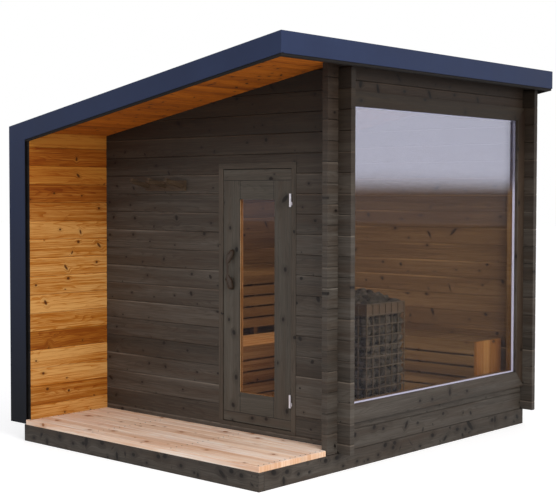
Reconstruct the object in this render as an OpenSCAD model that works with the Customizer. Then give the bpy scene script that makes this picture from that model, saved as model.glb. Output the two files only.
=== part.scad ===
// Outdoor sauna cabin of interlocked log boards under a single-slope roof.
// X runs along the door face, Y runs from the terrace to the back, Z is up.
// The origin is at the ground, in the middle of the roof's plan.

/* [Cabin] */
// width of the base frame, over the side walls' outer faces
base_w = 2340; // [2106:1:2574]
// depth of the base frame, from the terrace's front to the back wall
base_d = 3070; // [2763:1:3377]
// height of the base beams
base_h = 120; // [100:1:150]
// depth of the open terrace in front of the door wall
terrace_d = 747; // [600:1:900]

/* [Logs] */
// thickness of a log board
log_t = 44; // [34:1:58]
// height of one log course
course = 135; // [120:1:146]
// how far the logs run on past a crossing wall
log_end = 106; // [80:1:140]

/* [Roof] */
// slope of the roof, rising from left to right
roof_deg = 9.9; // [8:0.1:12]
// height of the soffit over the outer face of the left wall
soffit_z = 2243; // [2100:1:2400]
// overhang past the side walls
overhang = 168; // [120:1:220]
// height of the metal fascia
fascia_h = 128; // [110:1:160]

/* [Door] */
// width of the door leaf
leaf_w = 630; // [560:1:700]
// height of the door leaf
leaf_h = 1757; // [1650:1:1850]
// thickness of the door leaf
leaf_t = 40; // [36:1:44]
// left edge of the door leaf
leaf_x = 1307; // [1200:1:1400]

/* [Window] */
// front edge of the window's opening in the logs
window_y = 860; // [820:1:1000]
// wall beyond the window's opening, to the back wall's outer face
window_rear = 110; // [105:1:400]
// courses below the window
window_sill_n = 2; // [2:1:4]
// courses beside the window
window_n = 15; // [11:1:15]
// width of the boards that frame the window outside
casing_w = 100; // [90:1:105]

/* [Hidden] */
$fn = 48;
// gap between two like pieces that lie against each other
seam = 0.3;
// gap all round a crossing log in its notch
notch_play = 0.3;
slope = tan(roof_deg);
front_y = terrace_d;
side_x = base_w - log_t;
rear_y = base_d - log_t;
log_chamfer = 4;
tongue_t = 14;
tongue_h = 9;

// roof
fascia_t = 2.5;
roof_x0 = -overhang;
roof_x1 = base_w + overhang + 5;
roof_y0 = 0;
roof_y1 = base_d + log_end + fascia_t + 1;
roof_t = 83;
soffit_t = 15;
sheet_t = 5;
seam_n = 6;
fascia_drop = fascia_h - roof_t;
trim_t = 22;
trim_drop = fascia_drop + 17;
drip_w = 5.5;
batten_in = drip_w + seam;
// the left leg that the fascia runs down
leg_w = 100;
leg_lap = 19;
leg_z = base_h + 4;

// site of the origin within the base's own coordinates
site_x = (roof_x0 + roof_x1) / 2;
site_y = (roof_y0 + roof_y1) / 2;

// base and floors
beam_t = 45;
cabin_beam_y = 593;
deck_t = 36;
deck_n = 7;
deck_gap = 4;
deck_w = 93;
deck_round = 5;
// clear space round what the deck is cut to
deck_cut = 9;
floor_z = base_h + deck_t;
floor_n = 22;

// door opening in the logs
frame_w = 40;
door_gap = 5;
door_x0 = leaf_x - door_gap - frame_w;
door_x1 = leaf_x + leaf_w + door_gap + frame_w;
door_z0 = base_h + course / 2;
sill_h = 24.5;
leaf_z = door_z0 + sill_h + door_gap;
door_z1 = leaf_z + leaf_h + door_gap + frame_w;
leaf_y = front_y + 2;
frame_y0 = front_y - 3;
frame_d = 92;
stile_w = 150;
leaf_bevel = 3;
pane_z0 = 425;
pane_z1 = 1768;
rail_top_z = 1900;
rail_low_z = 283;
pull_x = 1390;
pull_z0 = 1136;
pull_z1 = 1421;
pull_out = 44;
pull_in = 36;
foot_r = 14;
grip_r = 7.5;
hinge_r = 8;
hinge_x = leaf_x + leaf_w + door_gap / 2;
hinge_y = frame_y0 - hinge_r - 0.7;
hinge_h = 88;
hinge_tab = 12;
hinge_zs = [372, 1720];
pin_r = 3.5;
pin_play = 0.05;

// window opening in the logs
window_z0 = base_h + window_sill_n * course;
window_z1 = window_z0 + window_n * course;
window_y1 = base_d - window_rear;
window_w = window_y1 - window_y;
sash_w = 42;
spacer_w = 17;
casing_inset = 36;
pane_t = 4;
spacer_t = 14;
rebate = 16;
casing_t = 20;
casing_low = 120;
casing_low_t = 30;
casing_bevel = 5;
glass_x = base_w - seam;

// benches and heater
bench_z = 1180;
bench_x = 560;
step_z = 670;
step_x = 1060;
step_y = rear_y - 396;
slat_h = 74;
slat_gap = 14;
slat_t = 27;
heater_w = 440;
heater_x = side_x - 316;
heater_y = front_y + 708;
heater_z = 1050;
heater_leg = 50;
heater_box = 90;
band_h = 74;
band_drop = 10;
mesh_pitch = 73;
wire = 6;

module on_site() {
    translate([-site_x, -site_y, 0]) children();
}

function soffit_at(x) = soffit_z + slope * x;

// a slice that follows the roof: from z0 to z1 above the soffit, in plan x0..x1, y0..y1
module roof_slice(x0, x1, y0, y1, z0, z1) {
    translate([0, y0, 0]) rotate([90, 0, 0]) mirror([0, 0, 1])
        linear_extrude(y1 - y0)
            polygon([[x0, soffit_at(x0) + z0], [x1, soffit_at(x1) + z0],
                [x1, soffit_at(x1) + z1], [x0, soffit_at(x0) + z1]]);
}

// the space that the walls may fill: below the soffit, and clear of the roof's end battens
module under_roof() {
    far = 500;
    reach = batten_in + trim_t + seam;
    difference() {
        roof_slice(-far, base_w + far, -far, base_d + far, -4000, -seam);
        for (y = [roof_y0 - far, roof_y1 - reach]) {
            roof_slice(-far, base_w + far, y, y + far + reach, -trim_drop - seam, 10);
        }
    }
}

// section of a log board, standing on its lower edge, centred on its thickness
module log_section(h, groove = true) {
    t = log_t / 2;
    c = log_chamfer;
    tt = tongue_t / 2;
    top = h - seam;
    difference() {
        union() {
            polygon([[-t, c], [-t + c, 0], [t - c, 0], [t, c], [t, top - c],
                [t - c, top], [-t + c, top], [-t, top - c]]);
            translate([-tt, top - 1]) square([tongue_t, tongue_h + 1]);
        }
        if (groove) {
            translate([-tt - 0.5, -1]) square([tongue_t + 1, tongue_h + 2]);
        }
    }
}

// a log along X: outer end x0, other end x1, its thickness from y0, its underside at z
module log_x(x0, x1, y0, z, h = course, groove = true) {
    translate([x0, y0 + log_t / 2, z]) rotate([90, 0, 90])
        linear_extrude(x1 - x0) log_section(h, groove);
}

// a log along Y
module log_y(y0, y1, x0, z, h = course, groove = true) {
    translate([x0 + log_t / 2, y1, z]) rotate([90, 0, 0])
        linear_extrude(y1 - y0) log_section(h, groove);
}

// the notches, a quarter of the course deep, where a wall along Y crosses at x0
module notch_at_x(x0, y0, z, h = course, low = true) {
    q = course / 4;
    for (dz = low ? [-20, h - q - notch_play] : [h - q - notch_play]) {
        translate([x0 - notch_play, y0 - 5, z + dz])
            cube([log_t + 2 * notch_play, log_t + 10, q + notch_play + 20]);
    }
}

module notch_at_y(y0, x0, z, h = course, low = true) {
    q = course / 4;
    for (dz = low ? [-20, h - q - notch_play] : [h - q - notch_play]) {
        translate([x0 - 5, y0 - notch_play, z + dz])
            cube([log_t + 10, log_t + 2 * notch_play, q + notch_play + 20]);
    }
}

// side wall courses n0 to n1, from y0 to y1, notched where the cross walls meet it
module side_logs(x0, y0, y1, n0, n1) {
    for (n = [n0:n1]) {
        z = base_h + n * course;
        difference() {
            log_y(y0, y1, x0, z, course, n > 0);
            notch_at_y(front_y, x0, z);
            notch_at_y(rear_y, x0, z);
        }
    }
}

// cross wall courses n0 to n1 from x0 to x1: course 0 is a half log
module cross_logs(y0, x0, x1, n0, n1) {
    for (n = [n0:n1]) {
        half = n == 0;
        h = half ? course / 2 : course;
        z = half ? base_h : base_h + (n - 0.5) * course;
        difference() {
            log_x(x0, x1, y0, z, h, !half);
            notch_at_x(0, y0, z, h, !half);
            notch_at_x(side_x, y0, z, h, !half);
        }
    }
}

module base_frame() {
    color([0.36, 0.33, 0.31]) on_site() {
        cube([base_w, beam_t, base_h - seam]);
        for (x = [0, base_w - beam_t]) {
            translate([x, beam_t + seam, 0])
                cube([beam_t, cabin_beam_y - beam_t - 2 * seam, base_h - seam]);
            translate([x, cabin_beam_y, 0])
                cube([beam_t, base_d - beam_t - cabin_beam_y - seam, base_h - seam]);
        }
        translate([0, base_d - beam_t, 0]) cube([base_w, beam_t, base_h - seam]);
        for (y = [front_y, 1490, 2240]) {
            translate([beam_t + seam, y, 0])
                cube([base_w - 2 * beam_t - 2 * seam, beam_t, base_h - seam]);
        }
        for (x = [730, 1520]) {
            translate([x, beam_t + seam, 0])
                cube([beam_t, front_y - beam_t - 2 * seam, base_h - seam]);
        }
    }
}

// a deck board along X with its two upper edges rounded
module deck_board(x0, x1, y0, w) {
    r = deck_round;
    translate([x0, y0, base_h]) rotate([90, 0, 90]) linear_extrude(x1 - x0) {
        square([w, deck_t - r]);
        translate([r, 0]) square([w - 2 * r, deck_t]);
        for (y = [r, w - r]) {
            translate([y, deck_t - r]) circle(r);
        }
    }
}

module terrace_deck() {
    pitch = deck_w + deck_gap;
    last_y = deck_n * pitch;
    color([0.80, 0.68, 0.57]) on_site() {
        difference() {
            deck_board(19, base_w, 0, deck_w);
            translate([-10, 21, base_h - 5]) cube([log_t + 14, 200, deck_t + 10]);
        }
        for (n = [1:deck_n - 1]) {
            difference() {
                deck_board(log_t + 3, base_w, n * pitch, deck_w);
                translate([side_x - deck_cut, front_y - log_end - deck_cut, base_h - 5])
                    cube([log_t + 20, 200, deck_t + 10]);
            }
        }
        deck_board(log_t + 3, side_x - deck_cut, last_y, front_y - 3 - last_y);
    }
}

module cabin_floor() {
    y0 = front_y + log_t + seam;
    y1 = rear_y - seam;
    pitch = (y1 - y0) / floor_n;
    color([0.72, 0.55, 0.38]) on_site() {
        for (n = [0:floor_n - 1]) {
            translate([log_t + seam, y0 + n * pitch, base_h])
                cube([base_w - 2 * log_t - 2 * seam, pitch - seam, deck_t]);
        }
    }
}

module left_wall() {
    color([0.58, 0.36, 0.18]) on_site() intersection() {
        side_logs(0, 22, base_d + log_end, 0, 15);
        under_roof();
    }
}

module back_wall() {
    color([0.24, 0.22, 0.20]) on_site() intersection() {
        cross_logs(rear_y, -log_end, base_w + log_end, 0, 18);
        under_roof();
    }
}

module right_wall(y0, y1, n0, n1) {
    color([0.24, 0.22, 0.20]) on_site() difference() {
        intersection() {
            side_logs(side_x, y0, y1, n0, n1);
            under_roof();
        }
        translate([side_x - 50, window_y - seam, window_z0 - seam])
            cube([200, window_w + 2 * seam, window_z1 - window_z0 + 2 * seam]);
    }
}

module right_wall_below() {
    right_wall(front_y - log_end, base_d + log_end, 0, window_sill_n - 1);
}

module right_wall_front() {
    right_wall(front_y - log_end, window_y, window_sill_n, window_sill_n + window_n - 1);
}

module right_wall_rear() {
    right_wall(window_y1, base_d + log_end, window_sill_n, window_sill_n + window_n - 1);
}

module right_wall_over() {
    right_wall(front_y - log_end, base_d + log_end, window_sill_n + window_n, 18);
}

module door_hole() {
    translate([door_x0 - seam, front_y - 50, door_z0 - seam])
        cube([door_x1 - door_x0 + 2 * seam, 200, door_z1 - door_z0 + 2 * seam]);
}

// courses 0 to 14 stand beside the door, split at its two jambs
module front_wall_left() {
    color([0.26, 0.23, 0.21]) on_site() difference() {
        union() {
            cross_logs(front_y, -log_end, door_x0 - seam, 1, 14);
            cross_logs(front_y, -log_end, base_w + log_end, 0, 0);
        }
        door_hole();
    }
}

module front_wall_right() {
    color([0.26, 0.23, 0.21]) on_site() {
        cross_logs(front_y, door_x1 + seam, base_w + log_end, 1, 14);
    }
}

module front_wall_over() {
    color([0.26, 0.23, 0.21]) on_site() {
        difference() {
            cross_logs(front_y, door_x0, door_x1, 14, 14);
            door_hole();
        }
        intersection() {
            cross_logs(front_y, -log_end, base_w + log_end, 15, 18);
            under_roof();
        }
    }
}

// section of the window frame: a bar with a rebate that takes the glass unit
module sash_section() {
    depth = log_t + 4;
    unit = 2 * pane_t + spacer_t + seam;
    difference() {
        square([depth, sash_w]);
        translate([depth - unit - seam, sash_w - rebate]) square([depth, rebate + 1]);
    }
}

// a bar of the window frame along Z, y0 its outer side, side 1 or -1 towards the glass
module sash_post(y0, z0, z1, side) {
    translate([side_x - 4, y0, z0]) mirror([0, side < 0 ? 1 : 0, 0])
        linear_extrude(z1 - z0) sash_section();
}

// a bar along Y, z0 its outer side
module sash_rail(z0, y0, y1, side) {
    translate([side_x - 4, y1, z0]) mirror([0, 0, side < 0 ? 1 : 0]) rotate([90, 0, 0])
        linear_extrude(y1 - y0) sash_section();
}

module window_frame() {
    in = sash_w - rebate;
    color([0.62, 0.42, 0.22]) on_site() {
        sash_post(window_y, window_z0, window_z1, 1);
        sash_post(window_y1, window_z0, window_z1, -1);
        difference() {
            union() {
                sash_rail(window_z0, window_y + in + seam, window_y1 - in - seam, 1);
                sash_rail(window_z1, window_y + in + seam, window_y1 - in - seam, -1);
            }
            for (y = [window_y - 1, window_y1 - sash_w - seam]) {
                translate([side_x - 10, y, window_z0 - 1])
                    cube([log_t + 10 - 2 * pane_t - spacer_t - 2 * seam + seam,
                        sash_w + seam + 1, window_z1 - window_z0 + 2]);
            }
        }
    }
}

module glass_sheet(x, t, grow) {
    inset = sash_w - grow;
    translate([x, window_y + inset, window_z0 + inset])
        cube([t, window_w - 2 * inset, window_z1 - window_z0 - 2 * inset]);
}

module window_glass() {
    color([0.62, 0.70, 0.74, 0.45]) on_site() {
        glass_sheet(glass_x - pane_t, pane_t, rebate - seam);
        glass_sheet(glass_x - 2 * pane_t - spacer_t, pane_t, rebate - seam);
    }
}

// aluminium bars between the two panes, seen as a bright line along the glass edge
module window_spacer() {
    bar = spacer_w;
    in = sash_w - rebate + seam;
    x0 = glass_x - pane_t - spacer_t + seam;
    t = spacer_t - 2 * seam;
    y0 = window_y + in;
    y1 = window_y1 - in;
    z0 = window_z0 + in;
    z1 = window_z1 - in;
    color([0.78, 0.78, 0.82]) on_site() {
        for (y = [y0, y1 - bar]) {
            translate([x0, y, z0]) cube([t, bar, z1 - z0]);
        }
        for (z = [z0, z1 - bar]) {
            translate([x0, y0 + bar + seam, z]) cube([t, y1 - y0 - 2 * bar - 2 * seam, bar]);
        }
    }
}

// a board of the casing, cut to its outline as seen from outside
module casing_board(points, t) {
    translate([base_w + seam, 0, 0]) rotate([90, 0, 90]) linear_extrude(t) polygon(points);
}

// the casing: mitred boards round the glass, the low one deeper and bevelled to shed water
module window_casing() {
    y0 = window_y + casing_inset;
    y1 = window_y1 - casing_inset;
    z0 = window_z0 + casing_inset;
    z1 = window_z1 - casing_inset;
    w = casing_w;
    low = casing_low;
    color([0.30, 0.28, 0.27]) on_site() {
        casing_board([[y0, z0], [y0, z1], [y0 - w, z1 + w], [y0 - w, z0 - low]], casing_t);
        casing_board([[y1, z0], [y1, z1], [y1 + w, z1 + w], [y1 + w, z0 - low]], casing_t);
        casing_board([[y0 + seam, z1 + seam], [y1 - seam, z1 + seam],
            [y1 + w - seam, z1 + w], [y0 - w + seam, z1 + w]], casing_t);
        difference() {
            casing_board([[y0 + seam, z0 - seam], [y1 - seam, z0 - seam],
                [y1 + w - seam, z0 - low], [y0 - w + seam, z0 - low]], casing_low_t);
            translate([base_w + casing_t, 0, z0]) rotate([0, -casing_bevel, 0])
                translate([0, 0, -400]) cube([100, base_d, 800]);
        }
    }
}

// inner boards round the window, flush with the frame's inner edge
module window_lining() {
    y0 = window_y + sash_w;
    y1 = window_y1 - sash_w;
    z0 = window_z0 + sash_w;
    z1 = window_z1 - sash_w;
    w = 70;
    t = 15;
    color([0.66, 0.46, 0.26]) on_site() {
        for (z = [z0 - w, z1]) {
            translate([side_x - 4 - seam - t, y0, z]) cube([t, y1 - y0, w]);
        }
        for (y = [y0 - w, y1]) {
            translate([side_x - 4 - seam - t, y + (y < y0 ? -seam : seam), z0 - w])
                cube([t, w, z1 - z0 + 2 * w]);
        }
    }
}

module door_frame() {
    y0 = frame_y0;
    color([0.28, 0.25, 0.23]) on_site() {
        for (x = [door_x0, door_x1 - frame_w]) {
            translate([x, y0, door_z0 + sill_h + seam])
                cube([frame_w, frame_d, door_z1 - door_z0 - sill_h - 2 * seam - frame_w]);
        }
        translate([door_x0, y0, door_z1 - frame_w])
            cube([door_x1 - door_x0, frame_d, frame_w]);
        translate([door_x0, y0, door_z0 + seam])
            cube([door_x1 - door_x0, frame_d, sill_h - seam]);
    }
}

// strips inside the frame that the shut leaf stands in front of
module door_stops() {
    w = 14;
    t = 28;
    x0 = door_x0 + frame_w + seam;
    x1 = door_x1 - frame_w - seam;
    y0 = leaf_y + leaf_t + 5;
    z0 = door_z0 + sill_h + seam;
    z1 = door_z1 - frame_w - seam;
    color([0.45, 0.33, 0.22]) on_site() {
        for (x = [x0, x1 - w]) {
            translate([x, y0, z0]) cube([w, t, z1 - z0]);
        }
        for (z = [z0, z1 - w]) {
            translate([x0 + w + seam, y0, z]) cube([x1 - x0 - 2 * w - 2 * seam, t, w]);
        }
    }
}

// the leaf's outline in plan; its free edge is bevelled so that it clears the jamb
module leaf_plan() {
    polygon([[0, 0], [leaf_w, 0], [leaf_w, leaf_t], [leaf_bevel, leaf_t]]);
}

// two full-width rails with two stiles between them, grooved for the panels and the glass
module door_leaf() {
    z1 = leaf_z + leaf_h;
    color([0.28, 0.25, 0.22]) on_site() translate([leaf_x, leaf_y, 0]) {
        translate([0, 0, leaf_z]) linear_extrude(rail_low_z - leaf_z) leaf_plan();
        translate([0, 0, rail_top_z]) linear_extrude(z1 - rail_top_z) leaf_plan();
        translate([0, 0, rail_low_z + seam])
            linear_extrude(rail_top_z - rail_low_z - 2 * seam) difference() {
                leaf_plan();
                translate([stile_w, -1]) square([leaf_w - 2 * stile_w, leaf_t + 2]);
                translate([stile_w - 10, leaf_t / 2 - 4]) square([leaf_w - 2 * stile_w + 20, 8]);
            }
    }
}

module door_panels() {
    x0 = leaf_x + stile_w + seam;
    w = leaf_w - 2 * stile_w - 2 * seam;
    color([0.30, 0.27, 0.24]) on_site() {
        for (z = [[rail_low_z + seam, pane_z0], [pane_z1, rail_top_z - seam]]) {
            difference() {
                translate([x0, leaf_y + 1, z[0]]) cube([w, leaf_t - 2, z[1] - z[0]]);
                translate([x0 - 5, leaf_y + leaf_t / 2 - 3.5, z[0] > 1000 ? z[0] - 1 : z[1] - 12])
                    cube([w + 10, 7, 13]);
            }
        }
    }
}

module door_glass() {
    grow = 9;
    x0 = leaf_x + stile_w - grow;
    color([0.62, 0.70, 0.74, 0.45]) on_site()
        translate([x0, leaf_y + leaf_t / 2 - 3, pane_z0 - grow])
            cube([leaf_w - 2 * stile_w + 2 * grow, 6, pane_z1 - pane_z0 + 2 * grow]);
}

// a cut branch with a thick foot at each end, a thin grip and the stub of a twig
module pull(depth) {
    bow = 6;
    top = pull_z1 - foot_r;
    low = pull_z0 + foot_r;
    for (z = [low, top]) {
        translate([pull_x, -foot_r, z]) rotate([-90, 0, 0])
            cylinder(r1 = foot_r * 0.95, r2 = foot_r, h = foot_r, $fn = 28);
    }
    hull() {
        translate([pull_x, -foot_r, top]) sphere(foot_r * 0.95, $fn = 28);
        translate([pull_x - bow, -depth, top - 55]) sphere(foot_r * 0.9, $fn = 28);
    }
    hull() {
        translate([pull_x - bow, -depth, top - 62]) sphere(grip_r, $fn = 28);
        translate([pull_x - bow, -depth, low + 92]) sphere(grip_r, $fn = 28);
    }
    hull() {
        translate([pull_x - bow, -depth, low + 84]) sphere(grip_r, $fn = 28);
        translate([pull_x, -foot_r, low]) sphere(foot_r * 0.95, $fn = 28);
    }
    translate([pull_x, -foot_r - 8, low + 18]) rotate([40, -32, 0])
        cylinder(r1 = grip_r, r2 = grip_r * 0.7, h = 40, $fn = 20);
}

module door_handle() {
    color([0.24, 0.19, 0.15]) on_site() {
        translate([0, leaf_y - seam, 0]) pull(pull_out);
        translate([0, leaf_y + leaf_t + seam, 0]) mirror([0, 1, 0]) pull(pull_in);
    }
}

// the lower half of each hinge stays on the jamb and carries the pin
module hinge_fixed() {
    color([0.75, 0.73, 0.76]) on_site() {
        for (z = hinge_zs) {
            translate([hinge_x, hinge_y, z]) {
                cylinder(r = hinge_r, h = hinge_h / 2 - 0.3);
                cylinder(r = pin_r, h = hinge_h - 8);
            }
            translate([hinge_x, frame_y0 - seam - 4, z + hinge_h / 4 - 11])
                cube([hinge_tab, 4, 22]);
        }
    }
}

module hinge_moving() {
    color([0.75, 0.73, 0.76]) on_site() {
        for (z = hinge_zs) {
            translate([hinge_x, hinge_y, z + hinge_h / 2]) difference() {
                union() {
                    cylinder(r = hinge_r, h = hinge_h / 2);
                    translate([-hinge_tab, 4, hinge_h / 4 - 11])
                        cube([hinge_tab, leaf_y - hinge_y - 4 - seam, 22]);
                }
                translate([0, 0, -1]) cylinder(r = pin_r + pin_play, h = hinge_h / 2 - 6);
            }
        }
    }
}

// a rail on the door wall with three square pegs that slant up and out
module coat_rack() {
    x0 = 511;
    x1 = 931;
    z0 = 1830;
    h = 75;
    t = 21;
    peg_w = 27;
    peg_h = 30;
    peg_l = 172;
    peg_deg = 15;
    y0 = front_y - seam - t;
    color([0.22, 0.20, 0.18]) on_site() {
        translate([x0, y0, z0]) cube([x1 - x0, t, h]);
        for (i = [0:2]) {
            x = x0 + 14 + i * (x1 - x0 - 28 - peg_w) / 2;
            difference() {
                translate([x, y0, z0 + 16]) rotate([-peg_deg, 0, 0])
                    translate([0, -peg_l, 0]) cube([peg_w, peg_l + 20, peg_h]);
                translate([x - 1, y0 - seam, z0 - 20]) cube([peg_w + 2, 80, 150]);
            }
        }
    }
}

module soffit_boards() {
    n = 28;
    edge = batten_in + trim_t + seam;
    pitch = (roof_x1 - roof_x0 - 2 * edge) / n;
    color([0.50, 0.28, 0.10]) on_site() {
        for (i = [0:n - 1]) {
            x = roof_x0 + edge + i * pitch;
            difference() {
                roof_slice(x, x + pitch - seam, roof_y0 + edge, roof_y1 - edge,
                    0, soffit_t);
                // V joint along each board's lower edge
                roof_slice(x - 1, x + 3, roof_y0, roof_y1, -1, 3);
            }
        }
    }
}

module roof_panel() {
    edge = batten_in + trim_t + seam;
    color([0.52, 0.46, 0.38]) on_site()
        roof_slice(roof_x0 + edge, roof_x1 - edge, roof_y0 + edge, roof_y1 - edge,
            soffit_t + seam, roof_t - sheet_t - seam);
}

module roof_sheet() {
    rib_w = 12;
    rib_h = 22;
    // the standing seams end under a cap short of the high edge
    rib_stop = 150;
    pitch = (roof_y1 - roof_y0 - 20) / seam_n;
    color([0.22, 0.23, 0.28]) on_site() {
        roof_slice(roof_x0 + fascia_t + seam, roof_x1 - fascia_t - seam,
            roof_y0 + fascia_t + seam, roof_y1 - fascia_t - seam, roof_t - sheet_t, roof_t - seam);
        for (i = [1:seam_n - 1]) {
            y = roof_y0 + 10 + i * pitch;
            roof_slice(roof_x0 + 27, roof_x1 - rib_stop, y - rib_w / 2, y + rib_w / 2,
                roof_t - 2, roof_t - 2 + rib_h);
        }
    }
}

module fascia_front() {
    color([0.18, 0.19, 0.27]) on_site() {
        roof_slice(roof_x0, roof_x1, roof_y0, roof_y0 + fascia_t, -fascia_drop, roof_t);
        roof_slice(roof_x0, roof_x1, roof_y0, roof_y0 + 26, roof_t - 0.01, roof_t + fascia_t);
        roof_slice(roof_x0, roof_x1, roof_y0, roof_y0 + drip_w,
            -fascia_drop - fascia_t, -fascia_drop + 0.01);
    }
}

module fascia_back() {
    color([0.18, 0.19, 0.27]) on_site() {
        roof_slice(roof_x0, roof_x1, roof_y1 - fascia_t, roof_y1, -fascia_drop, roof_t);
        roof_slice(roof_x0, roof_x1, roof_y1 - 26, roof_y1, roof_t - 0.01, roof_t + fascia_t);
        roof_slice(roof_x0, roof_x1, roof_y1 - drip_w, roof_y1,
            -fascia_drop - fascia_t, -fascia_drop + 0.01);
    }
}

module fascia_side(x0, x1, lip_x0, lip_x1, drip_x0, drip_x1) {
    y0 = roof_y0 + 26.5;
    y1 = roof_y1 - 26.5;
    roof_slice(x0, x1, y0, y1, -fascia_drop, roof_t);
    roof_slice(lip_x0, lip_x1, y0, y1, roof_t - 0.01, roof_t + fascia_t);
    roof_slice(drip_x0, drip_x1, y0, y1, -fascia_drop - fascia_t, -fascia_drop + 0.01);
    // the face runs on to the corners behind the front and back lips
    roof_slice(x0, x1, roof_y0 + fascia_t + seam, y0 + 0.01, -fascia_drop, roof_t - seam);
    roof_slice(x0, x1, y1 - 0.01, roof_y1 - fascia_t - seam, -fascia_drop, roof_t - seam);
}

module fascia_right() {
    color([0.26, 0.27, 0.37]) on_site()
        fascia_side(roof_x1 - fascia_t, roof_x1, roof_x1 - 26, roof_x1,
            roof_x1 - drip_w, roof_x1);
}

module fascia_left() {
    color([0.18, 0.19, 0.27]) on_site()
        fascia_side(roof_x0, roof_x0 + fascia_t, roof_x0, roof_x0 + 26,
            roof_x0, roof_x0 + drip_w);
}

// dark battens behind the fascia, a little deeper than the metal
module fascia_battens() {
    a = batten_in;
    b = a + trim_t;
    z1 = roof_t - sheet_t - seam;
    color([0.10, 0.09, 0.09]) on_site() {
        for (y = [roof_y0 + a, roof_y1 - b]) {
            roof_slice(roof_x0 + b + seam, roof_x1 - b - seam, y, y + trim_t, -trim_drop, z1);
        }
        for (x = [roof_x0 + a, roof_x1 - b]) {
            roof_slice(x, x + trim_t, roof_y0 + a, roof_y1 - a, -trim_drop, z1);
        }
    }
}

module leg_post() {
    color([0.12, 0.10, 0.10]) on_site() difference() {
        translate([roof_x0 + fascia_t + seam, roof_y0 + fascia_t + seam, leg_z])
            cube([overhang - fascia_t - 2 * seam, leg_w - 10, soffit_z - base_h]);
        roof_slice(roof_x0 - leg_w, leg_w, roof_y0 - leg_w, roof_y0 + 2 * leg_w,
            -trim_drop - seam, 2 * roof_t);
    }
}

module leg_cladding() {
    color([0.17, 0.18, 0.25]) on_site() difference() {
        union() {
            translate([roof_x0, roof_y0, leg_z]) cube([overhang + leg_lap, fascia_t, soffit_z - base_h]);
            translate([roof_x0, roof_y0, leg_z]) cube([fascia_t, leg_w, soffit_z - base_h]);
        }
        roof_slice(roof_x0 - leg_w, leg_w, roof_y0 - leg_w, roof_y0 + 2 * leg_w,
            -fascia_drop - fascia_t - seam, 2 * roof_t);
    }
}

// n boards side by side, from 0 to span along X, each length long and t thick
module slat_row(n, span, length, t) {
    w = (span - (n - 1) * slat_gap) / n;
    for (i = [0:n - 1]) {
        translate([i * (w + slat_gap), 0, 0]) cube([w, length, t]);
    }
}

// a bench along Y: deck slats on cross bearers and legs, skirt slats on its front
module bench(x0, x1, y0, y1, z, skirt_n) {
    w = 45;
    front = x1 - slat_t - seam;
    translate([x0, y0, z - slat_t]) slat_row(round((x1 - x0) / 92), x1 - x0, y1 - y0, slat_t);
    for (i = [0:skirt_n - 1]) {
        translate([x1 - slat_t, y0, z - slat_t - seam - (i + 1) * slat_h - i * slat_gap])
            cube([slat_t, y1 - y0, slat_h]);
    }
    for (y = [y0 + 50, (y0 + y1 - w) / 2, y1 - 50 - w]) {
        translate([x0, y, z - slat_t - seam - w]) cube([front - x0, w, w]);
        for (x = [x0, front - w]) {
            translate([x, y, floor_z + seam])
                cube([w, w, z - slat_t - w - floor_z - 3 * seam]);
        }
    }
}

module upper_bench() {
    color([0.74, 0.54, 0.32]) on_site()
        bench(log_t + seam, bench_x, front_y + log_t + seam, rear_y - seam, bench_z, 5);
}

module lower_bench() {
    color([0.74, 0.54, 0.32]) on_site()
        bench(bench_x + seam, step_x, front_y + log_t + seam, step_y - slat_gap, step_z, 5);
}

// the low bench runs on along the back wall, its right end closed by upright boards
module back_bench() {
    x1 = side_x - 106;
    length = x1 - bench_x - 2 * seam;
    end_t = 24;
    end_w = 88;
    color([0.74, 0.54, 0.32]) on_site() {
        translate([bench_x + seam, rear_y - seam, 0]) rotate([0, 0, -90])
            bench(0, rear_y - step_y - seam, 0, length - end_t - seam, step_z, 5);
        for (i = [0:3]) {
            translate([x1 - end_t, step_y + i * (end_w + seam), floor_z + seam])
                cube([end_t, end_w, step_z - floor_z - 2 * seam]);
        }
    }
}

module heater_base() {
    h = heater_w / 2;
    color([0.20, 0.19, 0.19]) on_site() {
        translate([heater_x - h, heater_y - h, floor_z + heater_leg])
            cube([heater_w, heater_w, heater_box]);
        for (x = [-1, 1], y = [-1, 1]) {
            translate([heater_x + x * (h - 30), heater_y + y * (h - 30), floor_z + seam])
                cylinder(r = 16, h = heater_leg);
        }
    }
}

// cage of square wires: uprights and rings on all four faces
module heater_cage() {
    h = heater_w / 2 - wire / 2;
    z0 = floor_z + heater_leg + heater_box + seam;
    n = 6;
    pitch = 2 * h / n;
    rows = floor((heater_z - z0) / mesh_pitch);
    color([0.45, 0.42, 0.38]) on_site() translate([heater_x, heater_y, 0]) union() {
        for (side = [0:3]) {
            rotate([0, 0, side * 90]) {
                for (i = [0:n - 1]) {
                    translate([-h + i * pitch - wire / 2, -h - wire / 2, z0])
                        cube([wire, wire, heater_z - z0]);
                }
            }
        }
        for (i = [0:rows]) {
            z = heater_z - wire - i * mesh_pitch;
            difference() {
                translate([-h - wire / 2, -h - wire / 2, z]) cube([2 * h + wire, 2 * h + wire, wire]);
                translate([-h + wire / 2, -h + wire / 2, z - 1])
                    cube([2 * h - wire, 2 * h - wire, wire + 2]);
            }
        }
    }
}

// band of four sheet plates behind the top of the cage
module heater_core() {
    h = heater_w / 2 - wire - seam;
    t = 2;
    color([0.42, 0.34, 0.28]) on_site()
        translate([heater_x, heater_y, heater_z - band_drop - band_h]) {
        for (side = [0:3]) {
            rotate([0, 0, side * 90]) translate([-h, -h, 0]) cube([2 * h - t - seam, t, band_h]);
        }
    }
}

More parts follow.
